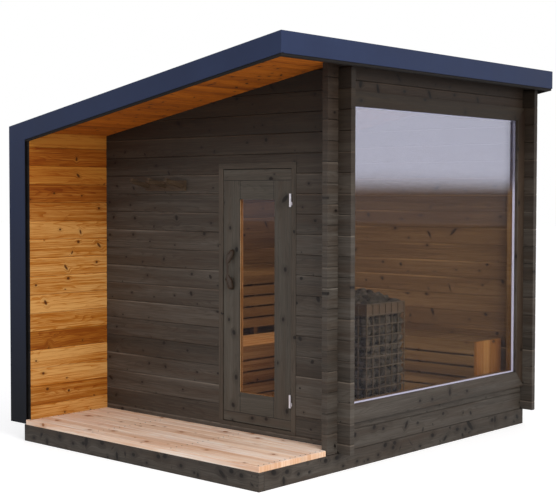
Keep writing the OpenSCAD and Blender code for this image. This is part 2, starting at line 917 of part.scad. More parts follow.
module heater_stones() {
    h = heater_w / 2 - wire - 2 - 2 * seam;
    z0 = floor_z + heater_leg + heater_box + seam;
    color([0.36, 0.35, 0.34]) on_site() translate([heater_x, heater_y, 0]) {
        translate([-h, -h, z0]) cube([2 * h, 2 * h, heater_z - z0 - 4]);
        translate([0, 0, heater_z - 5]) intersection() {
            translate([-h, -h, 0]) cube([2 * h, 2 * h, 96]);
            translate([0, 0, -290]) sphere(r = 386, $fn = 64);
        }
    }
}

base_frame();
terrace_deck();
cabin_floor();
left_wall();
back_wall();
right_wall_below();
right_wall_front();
right_wall_rear();
right_wall_over();
front_wall_left();
front_wall_right();
front_wall_over();
window_frame();
window_glass();
window_spacer();
window_casing();
window_lining();
door_frame();
door_stops();
door_leaf();
door_panels();
door_glass();
door_handle();
hinge_fixed();
hinge_moving();
coat_rack();
soffit_boards();
roof_panel();
roof_sheet();
fascia_front();
fascia_right();
fascia_back();
fascia_left();
fascia_battens();
leg_post();
leg_cladding();
upper_bench();
lower_bench();
back_bench();
heater_base();
heater_cage();
heater_core();
heater_stones();
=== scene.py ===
"""Looks of an outdoor sauna cabin: stained log boards, metal-edged roof, glass, benches and heater."""

import math
import random

import bmesh
import bpy
from mathutils import Euler, Matrix, Vector, noise


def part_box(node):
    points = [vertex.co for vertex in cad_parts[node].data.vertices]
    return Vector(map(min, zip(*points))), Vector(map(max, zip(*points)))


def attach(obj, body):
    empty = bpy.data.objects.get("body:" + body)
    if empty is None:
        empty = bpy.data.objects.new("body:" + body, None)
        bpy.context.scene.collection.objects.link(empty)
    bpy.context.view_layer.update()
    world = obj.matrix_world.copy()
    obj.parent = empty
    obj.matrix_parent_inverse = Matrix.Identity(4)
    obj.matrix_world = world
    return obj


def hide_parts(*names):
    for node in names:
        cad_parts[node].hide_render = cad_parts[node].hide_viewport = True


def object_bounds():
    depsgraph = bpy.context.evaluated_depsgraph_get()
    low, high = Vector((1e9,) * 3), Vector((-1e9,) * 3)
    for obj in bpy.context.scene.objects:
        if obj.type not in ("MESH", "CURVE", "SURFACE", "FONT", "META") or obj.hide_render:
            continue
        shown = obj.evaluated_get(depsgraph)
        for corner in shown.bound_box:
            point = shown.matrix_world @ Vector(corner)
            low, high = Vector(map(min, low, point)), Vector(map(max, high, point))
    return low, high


bl_info = {
    "name": "Outdoor sauna cabin",
    "version": (1, 0, 0),
    "blender": (4, 5, 0),
    "location": "3D View > Sidebar > Sauna",
    "description": "Dresses a log sauna cabin with stained wood, coated steel, glass and stones",
    "category": "Object",
}

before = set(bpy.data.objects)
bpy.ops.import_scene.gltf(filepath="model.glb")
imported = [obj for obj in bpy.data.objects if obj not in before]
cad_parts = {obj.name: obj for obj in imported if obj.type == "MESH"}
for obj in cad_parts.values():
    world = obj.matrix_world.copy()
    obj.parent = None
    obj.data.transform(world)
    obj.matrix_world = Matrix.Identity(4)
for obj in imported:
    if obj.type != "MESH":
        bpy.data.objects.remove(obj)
CAD_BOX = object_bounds()

# the near left corner of the base frame, which the sizes below are measured from
CORNER = Vector(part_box("base_frame")[0])
FAR = Vector(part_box("base_frame")[1]) - CORNER
COURSE = 0.135
BASE_H = 0.120
LOG_T = 0.044
LOG_END = 0.106
DECK_T = 0.036
DECK_PITCH = 0.097
DECK_ROWS = 7
# where the deck's first board starts behind the leg's foot, and where the first screws are
LEG_SIDE = 0.058
FRONT_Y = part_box("door_leaf")[0].y - CORNER.y - 0.002
SIDE_X = FAR.x - LOG_T
REAR_Y = FAR.y - LOG_T
BEVEL = 0.005
# the courses of the long walls start at the base, and those of the door wall half a course lower
CROSS_START = BASE_H - COURSE / 2
# past every face of the cabin, for bounds that are open at their upper end
BEYOND = 9.0


def linear(hex_colour):
    """An sRGB hex colour as linear red, green, blue and alpha."""
    values = [int(hex_colour[i:i + 2], 16) / 255 for i in (1, 3, 5)]
    return tuple(v / 12.92 if v <= 0.04045 else ((v + 0.055) / 1.055) ** 2.4 for v in values) + (1.0,)


def add(tree, kind, inputs=None, **settings):
    """Adds a node, sets its properties, and sets or links its inputs."""
    node = tree.nodes.new(kind)
    for key, value in settings.items():
        setattr(node, key, value)
    for key, value in (inputs or {}).items():
        if isinstance(value, bpy.types.NodeSocket):
            tree.links.new(value, node.inputs[key])
        else:
            node.inputs[key].default_value = value
    return node


def calc(tree, operation, *values):
    """The result of a math node on numbers or sockets."""
    return add(tree, "ShaderNodeMath", dict(enumerate(values)), operation=operation).outputs[0]


def aimed(tree, operation, first, second):
    """The result of a vector math node on two vectors."""
    return add(tree, "ShaderNodeVectorMath", {0: first, 1: second}, operation=operation).outputs[0]


def axes_of(tree, vector):
    """The three axes of a vector, as sockets."""
    return add(tree, "ShaderNodeSeparateXYZ", {0: vector}).outputs


def vector_of(tree, x, y, z):
    """A vector from its three axes."""
    return add(tree, "ShaderNodeCombineXYZ", {0: x, 1: y, 2: z}).outputs[0]


def ramped(tree, value, low, high, at_low, at_high, kind="LINEAR"):
    """at_low up to low, at_high from high on, and in step with the value between them."""
    return add(tree, "ShaderNodeMapRange", {"Value": value, 1: low, 2: high, 3: at_low, 4: at_high},
               interpolation_type=kind).outputs[0]


def cloudy(tree, vector, scale, detail, roughness=0.5):
    """Soft noise about 0.5."""
    return add(tree, "ShaderNodeTexNoise", {"Vector": vector, "Scale": scale, "Detail": detail,
                                            "Roughness": roughness}).outputs["Fac"]


def blend(tree, factor, first, second, kind="MIX"):
    """The first colour where the factor is 0, and the second, or its product with the first, at 1."""
    return add(tree, "ShaderNodeMix", {"Factor": factor, 6: first, 7: second}, data_type="RGBA",
               blend_type=kind).outputs[2]


def dimmed(tree, colour, level):
    """A colour times a level."""
    return add(tree, "ShaderNodeVectorMath", {0: colour, "Scale": level}, operation="SCALE").outputs[0]


def roughen(tree, shader, height, strength, distance):
    """Relief that is only in the finish of a surface."""
    bump = add(tree, "ShaderNodeBump", {"Height": height, "Strength": strength, "Distance": distance})
    tree.links.new(bump.outputs[0], shader.inputs["Normal"])


def new_material(name):
    """An empty node material with its output and its shader joined."""
    material = bpy.data.materials.new(name)
    material.use_nodes = True
    tree = material.node_tree
    tree.nodes.clear()
    shader = add(tree, "ShaderNodeBsdfPrincipled")
    add(tree, "ShaderNodeOutputMaterial", {"Surface": shader.outputs[0]})
    return material, tree, shader


def place_in(tree):
    """The point on the object, measured in metres from the base's near left corner."""
    place = add(tree, "ShaderNodeTexCoord")
    return aimed(tree, "SUBTRACT", place.outputs["Object"], tuple(CORNER))


def inside(tree, place, bounds):
    """1 where the place is within the bounds, each (axis, low, high), and 0 elsewhere. An axis is a
    number, or a function that builds the measure from the separate axes."""
    axes = axes_of(tree, place)
    result = None
    for axis, low, high in bounds:
        measure = axis(tree, axes) if callable(axis) else axes[axis]
        hit = calc(tree, "COMPARE", measure, (low + high) / 2, (high - low) / 2)
        result = hit if result is None else calc(tree, "MULTIPLY", result, hit)
    return result


def mitre(low, high):
    """A measure that is above 0 on the upright boards of a mitred frame round an opening, below 0 on
    its level boards, and 0 along the mitres."""
    def measure(tree, axes):
        beyond = []
        for axis, first, last in ((1, low.y, high.y), (2, low.z, high.z)):
            away = calc(tree, "ABSOLUTE", calc(tree, "SUBTRACT", axes[axis], (first + last) / 2))
            beyond.append(calc(tree, "SUBTRACT", away, (last - first) / 2))
        return calc(tree, "SUBTRACT", beyond[0], beyond[1])
    return measure


# how each board lies: the axes that run along it, across its face and through it
LIES = {"x_wall": (0, 2, 1), "y_wall": (1, 2, 0), "x_post": (2, 0, 1), "x_deck": (0, 1, 2),
        "y_post": (2, 1, 0), "y_deck": (1, 0, 2)}


def grain_place(tree, place, lie):
    """The place turned so that X runs along the board, Y across its face and Z through it."""
    axes = axes_of(tree, place)
    return vector_of(tree, *(axes[i] for i in LIES[lie]))


def stained(tree, tone, tones):
    """A ramp through the tones of one stain, from its dark late wood to its pale early wood."""
    ramp = add(tree, "ShaderNodeValToRGB", {0: tone})
    stops = ramp.color_ramp.elements
    while len(stops) < len(tones):
        stops.new(0.5)
    for i, tone_hex in enumerate(tones):
        stops[i].position = i / (len(tones) - 1)
        stops[i].color = linear(tone_hex)
    return ramp.outputs[0]


# radius of the least knot, and how much larger the largest is, in metres
KNOT_LEAST = 0.0034
KNOT_SPREAD = 0.0080


def knot_marks(tree, start, rows, layer, pitch, knots, knot_gap, knot_size):
    """Knots, one place in each stretch of knot_gap of a board and some of them left clear. Gives how
    far across the board the nearest is, its core, and the wood round it."""
    cell = vector_of(tree, calc(tree, "DIVIDE", start, knot_gap), rows, layer)
    spots = add(tree, "ShaderNodeTexVoronoi", {"Vector": cell, "Scale": 1.0, "Randomness": 0.9},
                voronoi_dimensions="3D", feature="F1").outputs
    apart = aimed(tree, "SUBTRACT", cell, spots["Position"])
    apart = aimed(tree, "MULTIPLY", apart, (knot_gap * 0.8, pitch, 0.0))
    draw = add(tree, "ShaderNodeSeparateColor", {0: spots["Color"]}).outputs
    # a knot cut lengthwise shows as a spike that leans across the board
    lean = calc(tree, "MULTIPLY_ADD", draw[2], 1.7, -0.85)
    leaning = add(tree, "ShaderNodeVectorRotate", {"Vector": apart, "Angle": lean},
                  rotation_type="Z_AXIS").outputs[0]
    squeeze = vector_of(tree, 1.0, ramped(tree, draw[0], 0.0, 0.4 * knots, 0.24, 1.05), 1.0)
    oval = aimed(tree, "MULTIPLY", leaning, squeeze)
    distance = add(tree, "ShaderNodeVectorMath", {0: oval}, operation="LENGTH").outputs["Value"]
    present = calc(tree, "LESS_THAN", draw[0], knots)
    radius = calc(tree, "MULTIPLY_ADD", draw[1], KNOT_SPREAD * knot_size, KNOT_LEAST * knot_size)
    reach = calc(tree, "DIVIDE", distance, radius)
    core = calc(tree, "MULTIPLY", ramped(tree, reach, 0.8, 1.25, 1.0, 0.0), present)
    halo = calc(tree, "MULTIPLY", ramped(tree, reach, 0.9, 4.2, 1.0, 0.0, "SMOOTHSTEP"), present)
    return axes_of(tree, apart)[1], core, halo


# how much each kind of grain counts in the tone of the wood
DRIFT_PART = 0.55
RING_PART = 0.065
STREAK_PART = 0.66
FIBRE_PART = 0.42
BOARD_PART = 0.24


def grain_tone(tree, flow, bent, shade, contrast, streak, vary):
    """Broad growth-ring bands, then streaks, then fibres, and a shade for each board. Gives the tone
    from 0 to 1, then the slow drift, the streaks and the fibres in it."""
    drift = cloudy(tree, aimed(tree, "MULTIPLY", flow, (0.8, 9.0, 1.0)), 1.0, 2.0)
    ring = calc(tree, "MULTIPLY_ADD", drift, 13.0, calc(tree, "MULTIPLY", bent, 42.0))
    # each ring darkens towards its late wood and ends there at once
    ring = calc(tree, "FRACT", calc(tree, "MULTIPLY", ring, 1.55))
    ring = ramped(tree, ring, 0.55, 1.0, 1.0, -1.0)
    streaks = cloudy(tree, aimed(tree, "MULTIPLY", flow, (1.5, 105.0, 1.0)), 1.0, 3.0, 0.6)
    fibres = cloudy(tree, aimed(tree, "MULTIPLY", flow, (9.0, 330.0, 1.0)), 1.0, 2.0, 0.6)
    tone = calc(tree, "MULTIPLY", drift, DRIFT_PART)
    for kind, part in ((ring, RING_PART * streak), (streaks, STREAK_PART * streak),
                       (fibres, FIBRE_PART), (shade, BOARD_PART * vary)):
        tone = calc(tree, "MULTIPLY_ADD", kind, part, tone)
    middle = (DRIFT_PART + STREAK_PART * streak + FIBRE_PART + BOARD_PART * vary) / 2
    half = 0.30 / contrast
    return ramped(tree, tone, middle - half, middle + half, 0.0, 1.0), drift, streaks, fibres


def planed_wood(name, lie, pitch, offset, tones, knot="#0C0603", inner=None, knots=0.62,
                knot_gap=0.34, rough=0.62, other=None, contrast=1.0, streak=1.0, vary=1.0,
                edge_highlight=0.0, eaves_shade=None, warm=None, groove_shade=0.0, lines=None, knot_size=1.0, ring_dark=0.16):
    """Planed spruce or pine boards under a thin stain. The eye sees long streaks that run with each
    board, a shade of its own for every board, and round dark knots that the streaks bend around.
    inner is a list of (bounds, tones) for faces with other tones, another stain on some and painted
    light or shade on others; other is a list of bounds and how the boards within them lie. vary sets
    how far board differs from board, edge_highlight how far the upper edges are lightened as a painted
    highlight, groove_shade how dark the painted shade is under each board, eaves_shade (low, high,
    tint, bounds) how and within what bounds the wood is darkened by painted shade under the roof, warm
    the redder heartwood that shows in long patches, lines the bounds of joints within a face, and
    ring_dark how far a knot stains the wood round it."""
    material, tree, shader = new_material(name)
    place = place_in(tree)
    turned = grain_place(tree, place, lie)
    mask = None
    for bounds, other_lie in other or []:
        hit = inside(tree, place, bounds)
        otherwise = grain_place(tree, place, other_lie)
        turned = add(tree, "ShaderNodeMix", {"Factor": hit, 4: turned, 5: otherwise},
                     data_type="VECTOR").outputs[1]
        mask = hit if mask is None else calc(tree, "MAXIMUM", mask, hit)
    along, across, _ = axes_of(tree, turned)
    # the board's number, counted across the face, and what is drawn for it
    rows = calc(tree, "DIVIDE", calc(tree, "SUBTRACT", across, offset), pitch)
    number = calc(tree, "FLOOR", rows)
    if mask is not None:
        number = calc(tree, "MULTIPLY_ADD", mask, 31.0, number)
    shade = add(tree, "ShaderNodeTexWhiteNoise", {"W": number}, noise_dimensions="1D").outputs["Value"]
    start = calc(tree, "MULTIPLY_ADD", shade, 17.0, along)
    layer = calc(tree, "MULTIPLY", number, 7.7)
    side, core, halo = knot_marks(tree, start, rows, layer, pitch, knots, knot_gap, knot_size)
    # the streaks part round a knot
    bent = calc(tree, "MULTIPLY_ADD", calc(tree, "MULTIPLY", side, halo), -0.75, across)
    flow = vector_of(tree, start, bent, layer)
    tone, drift, streaks, fibres = grain_tone(tree, flow, bent, shade, contrast, streak, vary)
    colour = stained(tree, tone, tones)
    dark = linear(knot)
    if warm:
        heart = cloudy(tree, aimed(tree, "MULTIPLY", flow, (1.1, 15.0, 1.0)), 1.0, 3.0, 0.62)
        heart = ramped(tree, heart, 0.42, 0.68, 0.0, 0.55)
        colour = blend(tree, heart, colour, linear(warm))
    for bounds, inner_tones in inner or []:
        zone = inside(tree, place, bounds)
        colour = blend(tree, zone, colour, stained(tree, tone, inner_tones))
        # a knot in wood with a thinner stain stays a deep shade of that wood
        bare = tuple(v * 0.33 for v in linear(inner_tones[0])[:3]) + (1.0,)
        dark = blend(tree, zone, dark, bare)
    level = ramped(tree, shade, 0.0, 1.0, 1 - 0.10 * vary, 1 + 0.10 * vary)
    for bounds in lines or []:
        clear = calc(tree, "MULTIPLY_ADD", inside(tree, place, bounds), -0.75, 1.0)
        level = calc(tree, "MULTIPLY", level, clear)
    part = calc(tree, "FRACT", rows)
    # painted shade: a thin dark band along the lower edge of each board, in the shadow of the groove under it
    if groove_shade:
        under = ramped(tree, part, 0.003 / pitch, 0.006 / pitch, 1 - groove_shade, 1.0)
        level = calc(tree, "MULTIPLY", level, under)
    if edge_highlight:
        # painted highlight: the upper edge of some boards is lighter for part of the length, where it catches
        # the light
        edge = ramped(tree, part, 1 - 0.012 / pitch, 1 - 0.006 / pitch, 0.0, edge_highlight)
        patch = ramped(tree, drift, 0.46, 0.58, 0.0, 1.0)
        level = calc(tree, "MULTIPLY", level, calc(tree, "MULTIPLY_ADD", edge, patch, 1.0))
    colour = dimmed(tree, colour, level)
    colour = blend(tree, calc(tree, "MULTIPLY", halo, ring_dark), colour, dark)
    colour = blend(tree, calc(tree, "MULTIPLY", core, 0.92), colour, dark)
    # painted shade: the tint darkens the wood towards the top, where the roof shades it
    if eaves_shade:
        low, high, tint, *zones = eaves_shade
        roof_shade = ramped(tree, axes_of(tree, place)[2], low, high, 0.0, 1.0, "SMOOTHSTEP")
        for bounds in zones:
            roof_shade = calc(tree, "MULTIPLY", roof_shade, inside(tree, place, bounds))
        colour = blend(tree, roof_shade, colour, linear(tint), "MULTIPLY")
    tree.links.new(colour, shader.inputs["Base Color"])
    dull = ramped(tree, streaks, 0.2, 0.8, rough - 0.08, rough + 0.10)
    tree.links.new(dull, shader.inputs["Roughness"])
    shader.inputs["Specular IOR Level"].default_value = 0.35
    relief = calc(tree, "MULTIPLY_ADD", streaks, 0.6, fibres)
    relief = calc(tree, "MULTIPLY_ADD", core, -0.5, relief)
    roughen(tree, shader, relief, 0.35, 0.0006)
    return material


# each stain or wood from its late wood to its early wood
DARK_STAIN = ("#27221C", "#3F3831", "#58524A")
DARK_HEART = "#382A1E"
POST_STAIN = ("#221A13", "#382B20", "#4C3E31")
FRAME_STAIN = ("#2A241D", "#40382F", "#544B41")
DOOR_STAIN = ("#302C26", "#47423A", "#58534A")
RACK_STAIN = ("#2C2118", "#4C3C2C", "#685440")
BLACK_STAIN = ("#0E0C0B", "#151210", "#1D1917")
# the door's room side: bare pine, paler than the room's own wood as a painted light
BARE_PINE_PAINTED_LIGHT = ("#B07A48", "#D2A06C", "#E6BC8C")
HONEY_STAIN = ("#8E4606", "#B26C1E", "#D29C58")
SOFFIT_STAIN = ("#7A3800", "#A25402", "#BE6A10")
INNER_WOOD = ("#5A4028", "#765A3C", "#927452")
PALE_DECK = ("#E8B690", "#F8D6B8", "#FFF2E4")
DECK_ENDS = ("#C89064", "#E0B08A", "#F0D0B2")
# the next two are paler than the benches' own wood: painted light on the back bench's end and on the lower
# bench
BENCH_ENDS_PAINTED_LIGHT = ("#865120", "#A66E33", "#BC8C52")
LOWER_BENCH_PAINTED_LIGHT = ("#9C6A3C", "#C08C56", "#D8AC78")
BENCH_WOOD = ("#60472A", "#7A5C3A", "#92744E")

# the terrace's face of the left wall, and the walls' faces towards the room
TERRACE_FACE = [(0, LOG_T - BEVEL, 1.0), (1, 0.024, FRONT_Y - 0.0005)]
ROOM_SIDE = [(0, LOG_T - BEVEL, SIDE_X + BEVEL), (1, FRONT_Y + LOG_T - BEVEL, REAR_Y + BEVEL)]


def dress(names, material):
    """Gives CAD nodes one material on every slot."""
    for name in names:
        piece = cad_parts[name]
        piece.data.materials.clear()
        piece.data.materials.append(material)


def coated_steel():
    """Polyester-coated steel sheet, roll-coated and folded: an even anthracite with a soft sheen,
    faint orange-peel and slow waves where the sheet isn't quite flat. The sheet is darker lower down,
    a painted shade where less of the sky's light reaches it, so the leg looks darker towards its foot."""
    material, tree, shader = new_material("coated_steel_anthracite")
    place = place_in(tree)
    cloud = cloudy(tree, place, 2.2, 4.0, 0.6)
    colour = stained(tree, cloud, ("#1C2540", "#242E49", "#2E3854"))
    # painted shade: darker lower down, strongest at the leg's foot
    level = ramped(tree, axes_of(tree, place)[2], 0.2, 2.3, 0.10, 1.0)
    tree.links.new(dimmed(tree, colour, level), shader.inputs["Base Color"])
    shader.inputs["Specular IOR Level"].default_value = 0.16
    tree.links.new(ramped(tree, cloud, 0.3, 0.7, 0.42, 0.56), shader.inputs["Roughness"])
    peel = cloudy(tree, place, 420.0, 1.0)
    wave = cloudy(tree, place, 3.0, 1.0)
    roughen(tree, shader, calc(tree, "MULTIPLY_ADD", wave, 12.0, peel), 0.25, 0.0004)
    return material


def satin_steel(name, tones, roughness, metallic=1.0):
    """Metal with a fine drawn finish, bare, plated, painted or tinted by heat, in three tones."""
    material, tree, shader = new_material(name)
    place = place_in(tree)
    drawn = cloudy(tree, aimed(tree, "MULTIPLY", place, (900.0, 900.0, 40.0)), 1.0, 2.0)
    blotch = cloudy(tree, place, 30.0, 3.0)
    tone = calc(tree, "MULTIPLY", calc(tree, "ADD", drawn, blotch), 0.5)
    tree.links.new(stained(tree, tone, tones), shader.inputs["Base Color"])
    shader.inputs["Metallic"].default_value = metallic
    dull = ramped(tree, blotch, 0.3, 0.7, roughness - 0.06, roughness + 0.08)
    tree.links.new(dull, shader.inputs["Roughness"])
    return material


def float_glass(name, clear, reflection_low, reflection_high, z_low, z_high):
    """Clear float glass: the room shows through, under a painted reflection of the sky: a soft pale lilac
    sheen that is stronger high up.
    """
    material = bpy.data.materials.new(name)
    material.use_nodes = True
    tree = material.node_tree
    tree.nodes.clear()
    height = axes_of(tree, place_in(tree))[2]
    # painted reflection: the pane mirrors more of the pale sky the higher it is
    painted_reflection = ramped(tree, height, z_low, z_high, reflection_low, reflection_high, "SMOOTHSTEP")
    through = add(tree, "ShaderNodeBsdfTransparent", {"Color": linear(clear)})
    # the gloss is tinted the lilac of the sky that it stands in for
    gloss = add(tree, "ShaderNodeBsdfGlossy", {"Color": linear("#DCDEF2"), "Roughness": 0.02})
    both = add(tree, "ShaderNodeMixShader", {0: painted_reflection, 1: through.outputs[0], 2: gloss.outputs[0]})
    add(tree, "ShaderNodeOutputMaterial", {"Surface": both.outputs[0]})
    return material


def stone_finish():
    """Broken igneous heater stones: matt grey-brown with mineral specks and a rough face."""
    material, tree, shader = new_material("broken_olivine_stone")
    place = place_in(tree)
    patch = cloudy(tree, place, 14.0, 5.0, 0.65)
    tone = stained(tree, patch, ("#0C0A08", "#40392F", "#9A8F82"))
    speck = add(tree, "ShaderNodeTexVoronoi", {"Vector": place, "Scale": 240.0}).outputs["Distance"]
    mark = ramped(tree, speck, 0.1, 0.25, 0.35, 0.0)
    tree.links.new(blend(tree, mark, tone, linear("#A39C92")), shader.inputs["Base Color"])
    shader.inputs["Roughness"].default_value = 0.9
    roughen(tree, shader, cloudy(tree, place, 90.0, 6.0, 0.7), 0.6, 0.004)
    return material


def branch_finish():
    """A branch, peeled, dried and oiled: warm brown with dark streaks along it."""
    material, tree, shader = new_material("peeled_juniper_branch")
    lengthwise = aimed(tree, "MULTIPLY", place_in(tree), (160.0, 160.0, 14.0))
    grain = cloudy(tree, lengthwise, 1.0, 4.0, 0.6)
    tree.links.new(stained(tree, grain, ("#140C06", "#30241A", "#4C3B2B")), shader.inputs["Base Color"])
    shader.inputs["Roughness"].default_value = 0.5
    roughen(tree, shader, grain, 0.5, 0.0012)
    return material


def ring_of(build, centre, across, up, radius, sides):
    """Points round a centre. radius is a number, or a function of the turn."""
    ring = []
    for k in range(sides):
        turn = 2 * math.pi * k / sides
        reach = radius(turn) if callable(radius) else radius
        ring.append(build.verts.new(centre + (across * math.cos(turn) + up * math.sin(turn)) * reach))
    return ring


def skin(build, rings):
    """Closes a row of rings into a solid, with a face at each end."""
    for a, b in zip(rings, rings[1:]):
        for k in range(len(a)):
            after = (k + 1) % len(a)
            build.faces.new((a[k], a[after], b[after], b[k]))
    build.faces.new(list(reversed(rings[0])))
    build.faces.new(rings[-1])


def finish_piece(name, build, material, body, smooth=True):
    """Turns a bmesh into a scene object that rides on a body."""
    mesh = bpy.data.meshes.new(name)
    build.to_mesh(mesh)
    build.free()
    if smooth:
        for face in mesh.polygons:
            face.use_smooth = True
    mesh.materials.append(material)
    piece = bpy.data.objects.new(name, mesh)
    bpy.context.scene.collection.objects.link(piece)
    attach(piece, body)
    return piece


class SaunaColours(bpy.types.PropertyGroup):
    """Colours that a user would change."""

    floor: bpy.props.FloatVectorProperty(
        name="Floor", description="Colour of the studio floor", subtype="COLOR", size=4,
        min=0.0, max=1.0, default=linear("#DEDCD8"))


class SaunaSizes(bpy.types.PropertyGroup):
    """Sizes that a user would change."""

    stone: bpy.props.FloatProperty(
        name="Stone size", description="Middle size of a heater stone", default=0.068,
        min=0.03, max=0.15, unit="LENGTH", subtype="DISTANCE")
    lens: bpy.props.FloatProperty(
        name="Lens", description="Focal length of the camera", default=78.7, min=20.0, max=200.0,
        unit="CAMERA")


class SAUNA_OT_logs(bpy.types.Operator):
    """Stain the log walls, the base beams and the door wall"""

    bl_idname = "sauna.logs"
    bl_label = "Log walls"

    def execute(self, context):
        front_end = [(0, -0.01, LOG_T + 0.001), (1, -0.01, 0.024)]
        inner = [(TERRACE_FACE, HONEY_STAIN), (ROOM_SIDE, INNER_WOOD), (front_end, BLACK_STAIN)]
        # painted light and shade on the walls below: a painted highlight on some boards' upper edges, painted
        # shade under each board, and painted shade under the roof towards the top
        wing = planed_wood("stained_log_boards_left", "y_wall", COURSE, BASE_H, DARK_STAIN,
                           inner=inner, edge_highlight=0.2, groove_shade=0.2, contrast=1.35, streak=1.25, knot="#3A200E",
                           knots=0.45, knot_gap=0.26, eaves_shade=(1.35, 2.0, "#DBC084", [(0, LOG_T - BEVEL, 1.0)]))
        dress(["left_wall"], wing)
        room = [(ROOM_SIDE, INNER_WOOD)]
        side = planed_wood("stained_log_boards_right", "y_wall", COURSE, BASE_H, DARK_STAIN, inner=room,
                           vary=0.15, edge_highlight=0.6, groove_shade=0.5, eaves_shade=(1.75, 2.45, "#B2A093"), knots=0.85,
                           knot_gap=0.20, warm=DARK_HEART, knot_size=1.1, ring_dark=0.2)
        dress(["right_wall_below", "right_wall_front", "right_wall_rear", "right_wall_over"], side)
        cross = planed_wood("stained_log_boards_front", "x_wall", COURSE, CROSS_START,
                            DARK_STAIN, inner=room, vary=0.75, edge_highlight=0.9, groove_shade=0.15,
                            eaves_shade=(1.55, 2.4, "#9A8872"), knots=0.75, knot_gap=0.24, warm=DARK_HEART,
                            ring_dark=0.16)
        dress(["front_wall_left", "front_wall_right", "front_wall_over", "back_wall"], cross)
        # the front beam laps the end of the side beam
        lap = [(1, 0.0438, 0.0468), (0, FAR.x - 0.01, BEYOND)]
        # a small dark square where each countersunk screw is
        half = 0.0045
        sunk = [[(0, FAR.x - across - half, FAR.x - across + half), (1, -1.0, 0.001), (2, z - half, z + half)]
                for across in (0.016, 0.060) for z in (0.038, 0.092)]
        beams = planed_wood("stained_base_beams", "y_wall", BASE_H, 0.0, DARK_STAIN, vary=0.4,
                            lines=[lap] + sunk, other=[([(1, -0.01, 0.0452)], "x_wall")],
                            knots=0.95, knot_gap=0.11, warm=DARK_HEART, knot_size=1.45, ring_dark=0.35)
        dress(["base_frame"], beams)
        return {"FINISHED"}


class SAUNA_OT_roof(bpy.types.Operator):
    """Finish the soffit, the roof sheet, the metal edges and the leg"""

    bl_idname = "sauna.roof"
    bl_label = "Roof and metal edges"

    def execute(self, context):
        steel = coated_steel()
        dress(["roof_sheet", "fascia_front", "fascia_right", "fascia_back", "fascia_left",
               "leg_cladding"], steel)
        low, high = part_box("soffit_boards")
        boards = 28
        pitch = (high.x - low.x) / boards
        start = low.x - CORNER.x
        # painted shade: outside the walls the soffit boards take the walls' dark tones, for the overhang's
        # shadow
        shaded_overhang = [(1, FRONT_Y + 0.02, BEYOND), (0, SIDE_X + 0.02, BEYOND)]
        shaded_left_overhang = [(0, -1.0, 0.02)]
        soffit = planed_wood("soffit_boards_pine", "y_deck", pitch, start, SOFFIT_STAIN,
                             inner=[(shaded_overhang, DARK_STAIN), (shaded_left_overhang, DARK_STAIN)], vary=0.6,
                             knot="#3A1A08", rough=0.75, contrast=1.4, streak=1.3, knots=0.8, knot_gap=0.24)
        dress(["soffit_boards"], soffit)
        batten = planed_wood("black_stained_battens", "x_wall", 0.2, 0.0,
                             BLACK_STAIN, knots=0.2, rough=0.85)
        dress(["fascia_battens", "leg_post"], batten)
        dress(["roof_panel"], planed_wood("sawn_roof_timber", "y_deck", 0.12, 0.0, INNER_WOOD))
        return {"FINISHED"}


class SAUNA_OT_terrace(bpy.types.Operator):
    """Finish the deck and the cabin's floor"""

    bl_idname = "sauna.terrace"
    bl_label = "Deck and floor"

    def execute(self, context):
        deck = planed_wood("planed_larch_deck", "x_deck", DECK_PITCH, -0.002, PALE_DECK, knot="#9C5C2A",
                           knots=0.36, knot_gap=0.30, rough=0.7, vary=0.5, streak=1.2, warm="#D09062",
                           other=[([(1, -0.01, 0.0012)], "x_wall")],
                           inner=[([(0, FAR.x - 0.0012, BEYOND)], DECK_ENDS)],
                           knot_size=1.5, ring_dark=0.3)
        build = bmesh.new()
        draw = random.Random(3)
        # clear of the left wall, of the right wall and of the log ends at its front corner
        near, far, cut = LOG_T + 0.003, SIDE_X - 0.009, FRONT_Y - LOG_END - 0.009
        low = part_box("terrace_deck")[0].z - CORNER.z
        # the first board runs round the foot of the leg
        leg, leg_back = 0.019, 0.021
        for row in range(DECK_ROWS + 1):
            y0, y1 = row * DECK_PITCH, (row + 1) * DECK_PITCH - 0.0012
            end = FAR.x - draw.uniform(0.0, 0.0008)
            if row == DECK_ROWS:
                y1 = FRONT_Y - 0.003
            if row == 0:
                plan = [(leg, 0.0), (end, 0.0), (end, y1), (LEG_SIDE, y1), (LEG_SIDE, leg_back),
                        (leg, leg_back)]
            elif y1 <= cut:
                plan = [(near, y0), (end, y0), (end, y1), (near, y1)]
            elif y0 < cut:
                plan = [(near, y0), (end, y0), (end, cut), (far, cut), (far, y1), (near, y1)]
            else:
                plan = [(near, y0), (far, y0), (far, y1), (near, y1)]
            self.board(build, plan, low, low + DECK_T - draw.uniform(0.0, 0.0004))
        boards = finish_piece("deck_boards", build, deck, "cabin", smooth=False)
        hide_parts("terrace_deck")
        floor = planed_wood("planed_spruce_floor", "x_deck", 0.1016, FRONT_Y + LOG_T, INNER_WOOD,
                            knot="#4A2E1A")
        dress(["cabin_floor"], floor)
        return {"FINISHED"}

    def board(self, build, plan, z0, z1):
        """A planed board with the given outline and its upper edges rounded."""
        top = [build.verts.new(CORNER + Vector((x, y, z1))) for x, y in plan]
        foot = [build.verts.new(CORNER + Vector((x, y, z0))) for x, y in plan]
        lid = build.faces.new(top)
        build.faces.new(list(reversed(foot)))
        for i in range(len(plan)):
            j = (i + 1) % len(plan)
            build.faces.new((top[j], top[i], foot[i], foot[j]))
        bmesh.ops.bevel(build, geom=list(lid.edges), offset=0.0032, segments=3, affect="EDGES", profile=0.5)


